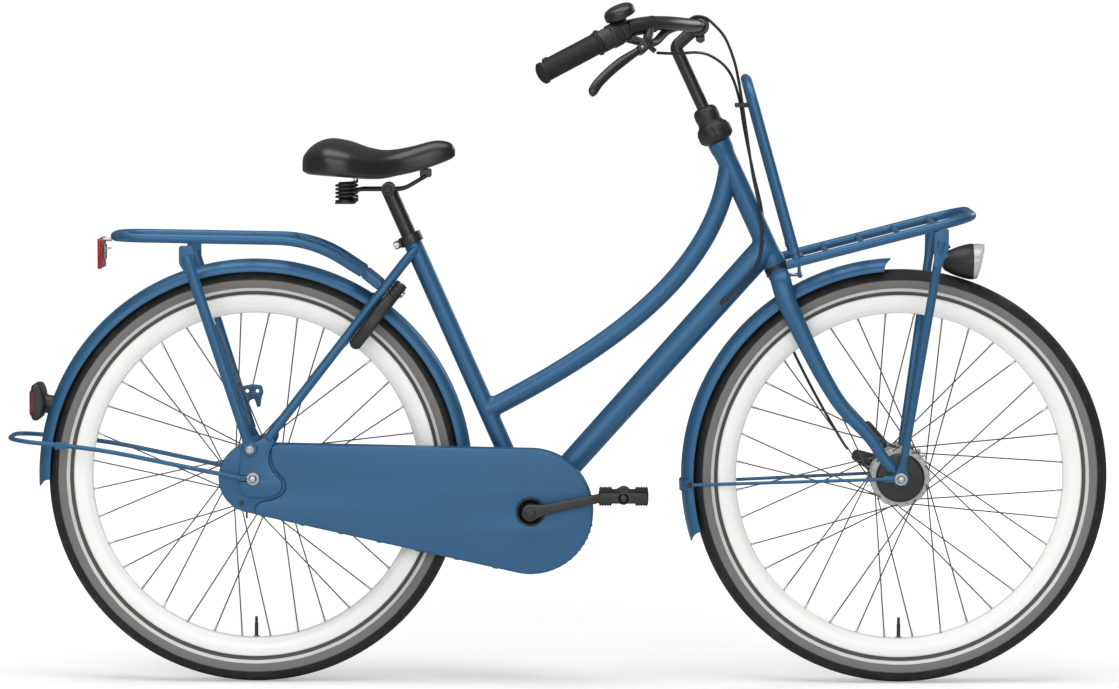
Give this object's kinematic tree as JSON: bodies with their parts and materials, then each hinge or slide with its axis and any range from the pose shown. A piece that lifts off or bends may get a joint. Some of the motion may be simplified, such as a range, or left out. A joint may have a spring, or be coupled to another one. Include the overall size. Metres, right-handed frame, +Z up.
{
  "type": "dutch city bike",
  "caption": "Dutch city bicycle with a curved step-through frame, full chaincase, fenders, a carrier over each wheel and a sprung saddle.",
  "frame": {"origin": "on the floor plane, under the middle of the bicycle's bounding box", "axes": "+X towards the front wheel, +Y to the rider's left, +Z up"},
  "size_m": [1.9145, 0.6448, 1.1873],
  "materials": {
    "frame_paint": "satin",
    "black_parts": "satin",
    "grip_rubber": "matte",
    "saddle_cover": "grained",
    "tyre": "matte",
    "rim_lacquer": "gloss",
    "bright_metal": "satin",
    "red_lens": "gloss",
    "clear_lens": "gloss"
  },
  "bodies": {
    "frame": {"head_tube": "frame_paint", "top_tube": "frame_paint", "down_tube": "frame_paint", "seat_tube": "frame_paint", "chain_stays": "frame_paint", "seat_stays": "frame_paint", "seat_clamp": "black_parts", "rear_axle": "bright_metal", "rear_fender": "frame_paint", "ring_lock_body": "black_parts", "chaincase_cover": "frame_paint", "chaincase_back": "frame_paint", "chain": "bright_metal", "rear_fender_loop": "frame_paint", "rear_light": "red_lens", "rear_reflector": "red_lens", "rear_carrier": "frame_paint", "rear_carrier_stay_right": "frame_paint", "rear_carrier_stay_left": "frame_paint", "shift_cable_lower": "grip_rubber"},
    "steering": {"fork": "frame_paint", "headset_collar": "black_parts", "stem": "black_parts", "handlebar": "black_parts", "grip_right": "grip_rubber", "grip_left": "grip_rubber", "brake_bracket": "black_parts", "front_fender": "frame_paint", "front_fender_stay": "frame_paint", "front_brake_unit": "bright_metal", "front_axle": "bright_metal", "headlight": "black_parts", "headlight_lens": "clear_lens", "brake_cable": "grip_rubber", "shift_cable_upper": "grip_rubber", "front_carrier_deck": "frame_paint", "front_carrier_hoop": "frame_paint", "front_carrier_stay_right": "frame_paint", "front_carrier_stay_left": "frame_paint"},
    "front_wheel": {"front_tyre": "tyre", "front_rim": "rim_lacquer", "front_hub": "bright_metal"},
    "rear_wheel": {"rear_tyre": "tyre", "rear_rim": "rim_lacquer", "rear_hub": "bright_metal"},
    "crank_set": {"crank_right": "black_parts", "crank_left": "black_parts"},
    "right_pedal": {"pedal_right": "grip_rubber"},
    "left_pedal": {"pedal_left": "grip_rubber"},
    "rear_cog": {"rear_sprocket": "bright_metal"},
    "hand_lever": {"brake_lever": "black_parts"},
    "twist_ring": {"gear_shifter": "black_parts"},
    "bell_head": {"bell": "black_parts"},
    "post": {"seatpost": "black_parts"},
    "saddle": {"saddle_frame": "black_parts", "saddle_spring_right": "bright_metal", "saddle_spring_left": "bright_metal", "saddle_pad": "saddle_cover"},
    "side_stand": {"kickstand": "bright_metal"},
    "lock_shackle": {"ring_lock_shackle": "bright_metal"}
  },
  "joints": [
    {"name": "steering_turn", "type": "hinge", "parent": "frame", "child": "steering", "pos_m": [0.28005, 0, 0.9444], "axis": [-0.4179, 0, 0.9085], "range_deg": [-60, 60], "deforming": ["shift_cable_lower"]},
    {"name": "front_wheel_spin", "type": "hinge", "parent": "steering", "child": "front_wheel", "pos_m": [0.59605, 0, 0.3615], "axis": [0, 1, 0], "continuous": true},
    {"name": "rear_wheel_spin", "type": "hinge", "parent": "frame", "child": "rear_wheel", "pos_m": [-0.52755, 0, 0.3615], "axis": [0, 1, 0], "continuous": true},
    {"name": "crank_spin", "type": "hinge", "parent": "frame", "child": "crank_set", "pos_m": [-0.04625, 0, 0.304], "axis": [0, 1, 0], "continuous": true},
    {"name": "right_pedal_spin", "type": "hinge", "parent": "crank_set", "child": "right_pedal", "pos_m": [0.11534, -0.1345, 0.33835], "axis": [0, 1, 0], "continuous": true},
    {"name": "left_pedal_spin", "type": "hinge", "parent": "crank_set", "child": "left_pedal", "pos_m": [-0.20784, 0.1345, 0.26965], "axis": [0, 1, 0], "continuous": true},
    {"name": "sprocket_spin", "type": "hinge", "parent": "frame", "child": "rear_cog", "pos_m": [-0.52755, 0, 0.3615], "axis": [0, 1, 0], "continuous": true},
    {"name": "brake_lever_pull", "type": "hinge", "parent": "steering", "child": "hand_lever", "pos_m": [0.14445, -0.243, 1.108], "axis": [-0.2805, 0.8926, -0.3529], "range_deg": [0, 16], "stiffness_Nm_per_rad": 1.5, "springref_deg": -11.46},
    {"name": "gear_shifter_twist", "type": "hinge", "parent": "steering", "child": "twist_ring", "pos_m": [0.12095, -0.238, 1.143], "axis": [-0.8106, -0.3996, -0.4281], "range_deg": [-45, 45]},
    {"name": "bell_ring_turn", "type": "hinge", "parent": "steering", "child": "bell_head", "pos_m": [0.11933, -0.2388, 1.14214], "axis": [-0.384, -0.1893, 0.9037], "range_deg": [0, 40], "stiffness_Nm_per_rad": 0.1, "springref_deg": -5.73},
    {"name": "seatpost_height", "type": "slide", "parent": "frame", "child": "post", "axis": [-0.4067, 0, 0.9135], "range_m": [-0.06, 0.08]},
    {"name": "saddle_tilt", "type": "hinge", "parent": "post", "child": "saddle", "pos_m": [-0.29469, 0, 0.862], "axis": [0, 1, 0], "range_deg": [-12, 12]},
    {"name": "kickstand_fold", "type": "hinge", "parent": "frame", "child": "side_stand", "pos_m": [-0.18755, 0.051, 0.288], "axis": [-0.0422, -0.9627, -0.2672], "range_deg": [0, 86]},
    {"name": "ring_lock_close", "type": "hinge", "parent": "frame", "child": "lock_shackle", "pos_m": [-0.32267, 0, 0.63034], "axis": [-0.7902, 0, 0.6128], "range_deg": [0, 78]}
  ],
  "couplings": [
    {"joint": "sprocket_spin", "follows": "crank_spin", "ratio": 2}
  ]
}
